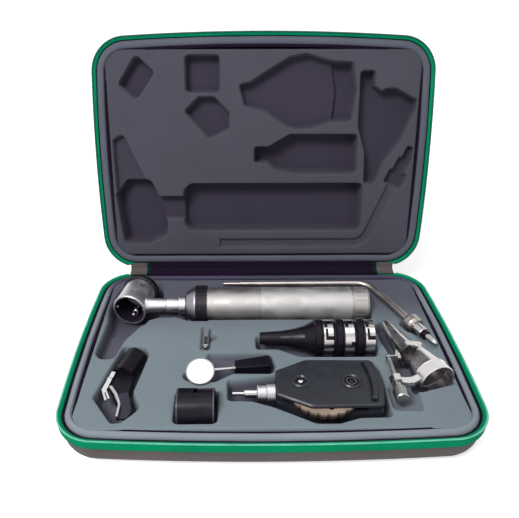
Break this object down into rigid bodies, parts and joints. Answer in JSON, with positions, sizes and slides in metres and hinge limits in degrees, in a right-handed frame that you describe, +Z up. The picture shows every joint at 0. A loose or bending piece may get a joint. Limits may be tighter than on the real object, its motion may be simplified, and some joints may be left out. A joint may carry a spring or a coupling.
{
  "type": "otoscope carry case",
  "caption": "Open zipped carry case with green trim, holding an otoscope and ophthalmoscope set in shaped foam.",
  "frame": {"origin": "centre of the base's flat underside", "axes": "+X to the right of someone opening the case, +Y towards the hinge, +Z up"},
  "size_m": [0.294, 0.2796, 0.2341],
  "materials": {
    "shell_fabric": "matte",
    "lining_fabric": "matte",
    "foam": "matte",
    "zip_tape": "matte",
    "zip_coil": "satin",
    "zip_metal": "satin",
    "chrome": "polished",
    "satin_metal": "satin",
    "black_plastic": "satin",
    "ivory_plastic": "satin",
    "glass": "gloss",
    "mirror": "polished",
    "brass": "satin",
    "cell_sleeve": "satin"
  },
  "bodies": {
    "case_base": {"base_shell": "shell_fabric", "base_lining": "lining_fabric", "base_foam": "foam", "base_zip_tape": "zip_tape", "base_zip_coil": "zip_coil", "hinge_web_base": "shell_fabric"},
    "lid": {"lid_shell": "shell_fabric", "lid_lining": "lining_fabric", "lid_foam": "foam", "lid_zip_tape": "zip_tape", "lid_zip_coil": "zip_coil", "hinge_web_lid": "shell_fabric"},
    "slider_left": {"zip_slider_left": "zip_metal"},
    "slider_right": {"zip_slider_right": "zip_metal"},
    "pull_left": {"zip_pull_left": "zip_metal"},
    "pull_right": {"zip_pull_right": "zip_metal"},
    "otoscope": {"handle_barrel": "chrome", "handle_grip": "satin_metal", "handle_shoulder": "satin_metal", "handle_coupling": "satin_metal", "head_shell": "chrome", "head_lamp": "chrome", "battery_cells": "cell_sleeve"},
    "rheostat": {"rheostat_ring": "black_plastic"},
    "cap": {"end_cap": "satin_metal", "contact_spring": "chrome"},
    "magnifier": {"lens_ring": "black_plastic", "magnifier_lens": "glass"},
    "illuminator": {"arm_tube": "satin_metal", "arm_tip": "chrome", "arm_collar": "satin_metal", "arm_plug": "chrome", "arm_insulator": "black_plastic", "arm_contact": "chrome"},
    "specula": {"speculum_wide": "black_plastic", "speculum_medium": "black_plastic", "speculum_narrow": "black_plastic", "specula_rings": "chrome"},
    "ophthalmoscope": {"scope_back": "black_plastic", "scope_face": "black_plastic", "brow_rest": "black_plastic", "window_rings": "black_plastic", "window_lenses": "glass", "scope_collar": "satin_metal", "scope_contact": "chrome"},
    "wheel": {"lens_wheel": "ivory_plastic"},
    "nasal_speculum": {"nasal_body": "chrome"},
    "moving_blade": {"nasal_blade": "chrome"},
    "thumb_screw": {"nasal_screw": "chrome"},
    "screw_knob": {"nasal_knob": "chrome"},
    "throat_mirror": {"mirror_frame": "chrome", "mirror_glass": "mirror", "mirror_sleeve": "black_plastic"},
    "adaptor": {"adaptor_barrel": "black_plastic"},
    "tongue_holder": {"holder_barrel": "black_plastic", "holder_blade": "chrome"},
    "clamp": {"holder_clamp": "chrome"},
    "spare_bulb": {"bulb_base": "chrome", "bulb_glass": "glass"}
  },
  "joints": [
    {"name": "lid_hinge", "type": "hinge", "parent": "case_base", "child": "lid", "pos_m": [0, 0.1043, 0.0305], "axis": [-1, 0, 0], "range_deg": [-102.5, 76.5]},
    {"name": "slider_left_run", "type": "slide", "parent": "case_base", "child": "slider_left", "axis": [-1, 0, 0], "range_m": [0, 0.006]},
    {"name": "slider_right_run", "type": "slide", "parent": "case_base", "child": "slider_right", "axis": [1, 0, 0], "range_m": [0, 0.006]},
    {"name": "pull_left_swing", "type": "hinge", "parent": "slider_left", "child": "pull_left", "pos_m": [-0.1116, 0.10395, 0.0237], "axis": [-1, 0, 0], "range_deg": [-80, 0]},
    {"name": "pull_right_swing", "type": "hinge", "parent": "slider_right", "child": "pull_right", "pos_m": [0.1116, 0.10395, 0.0237], "axis": [-1, 0, 0], "range_deg": [-80, 0]},
    {"name": "otoscope_lift", "type": "slide", "parent": "case_base", "child": "otoscope", "axis": [0, 0, 1], "range_m": [0, 0.08]},
    {"name": "rheostat_turn", "type": "hinge", "parent": "otoscope", "child": "rheostat", "pos_m": [-0.053, 0.0453, 0.032], "axis": [1, 0, 0], "range_deg": [0, 110]},
    {"name": "end_cap_turn", "type": "hinge", "parent": "otoscope", "child": "cap", "pos_m": [0.078, 0.0453, 0.032], "axis": [1, 0, 0], "range_deg": [0, 540]},
    {"name": "lens_ring_turn", "type": "hinge", "parent": "otoscope", "child": "magnifier", "pos_m": [-0.10716, 0.06724, 0.032], "axis": [0.2079, 0.9781, 0], "range_deg": [0, 90]},
    {"name": "illuminator_lift", "type": "slide", "parent": "case_base", "child": "illuminator", "axis": [0, 0, 1], "range_m": [0, 0.06]},
    {"name": "specula_lift", "type": "slide", "parent": "case_base", "child": "specula", "axis": [0, 0, 1], "range_m": [0, 0.07]},
    {"name": "ophthalmoscope_lift", "type": "slide", "parent": "case_base", "child": "ophthalmoscope", "axis": [0, 0, 1], "range_m": [0, 0.07]},
    {"name": "lens_wheel_turn", "type": "hinge", "parent": "ophthalmoscope", "child": "wheel", "pos_m": [0.0365, -0.0573, 0.032], "axis": [0, 0, 1], "continuous": true},
    {"name": "nasal_speculum_lift", "type": "slide", "parent": "case_base", "child": "nasal_speculum", "axis": [0, 0, 1], "range_m": [0, 0.06]},
    {"name": "nasal_blade_swing", "type": "hinge", "parent": "nasal_speculum", "child": "moving_blade", "pos_m": [0.11181, -0.02026, 0.031], "axis": [0, 0, 1], "range_deg": [0, 5.6]},
    {"name": "nasal_screw_travel", "type": "slide", "parent": "nasal_speculum", "child": "thumb_screw", "axis": [0, -1, 0], "range_m": [0, 0.0022]},
    {"name": "nasal_knob_turn", "type": "hinge", "parent": "thumb_screw", "child": "screw_knob", "pos_m": [0.0884, -0.064, 0.034], "axis": [0, 1, 0], "range_deg": [0, 720]},
    {"name": "mirror_lift", "type": "slide", "parent": "case_base", "child": "throat_mirror", "axis": [0, 0, 1], "range_m": [0, 0.06]},
    {"name": "adaptor_lift", "type": "slide", "parent": "case_base", "child": "adaptor", "axis": [0, 0, 1], "range_m": [0, 0.06]},
    {"name": "tongue_holder_lift", "type": "slide", "parent": "case_base", "child": "tongue_holder", "axis": [0, 0, 1], "range_m": [0, 0.06]},
    {"name": "clamp_spring", "type": "hinge", "parent": "tongue_holder", "child": "clamp", "pos_m": [-0.1156, -0.0398, 0.0264], "axis": [0.9563, -0.2924, 0], "range_deg": [0, 12], "stiffness_Nm_per_rad": 0.05},
    {"name": "bulb_lift", "type": "slide", "parent": "case_base", "child": "spare_bulb", "axis": [0, 0, 1], "range_m": [0, 0.05]}
  ],
  "couplings": [
    {"joint": "nasal_knob_turn", "follows": "nasal_screw_travel", "rad_per_m": 5706.3},
    {"joint": "nasal_blade_swing", "follows": "nasal_screw_travel", "rad_per_m": 44.382}
  ]
}
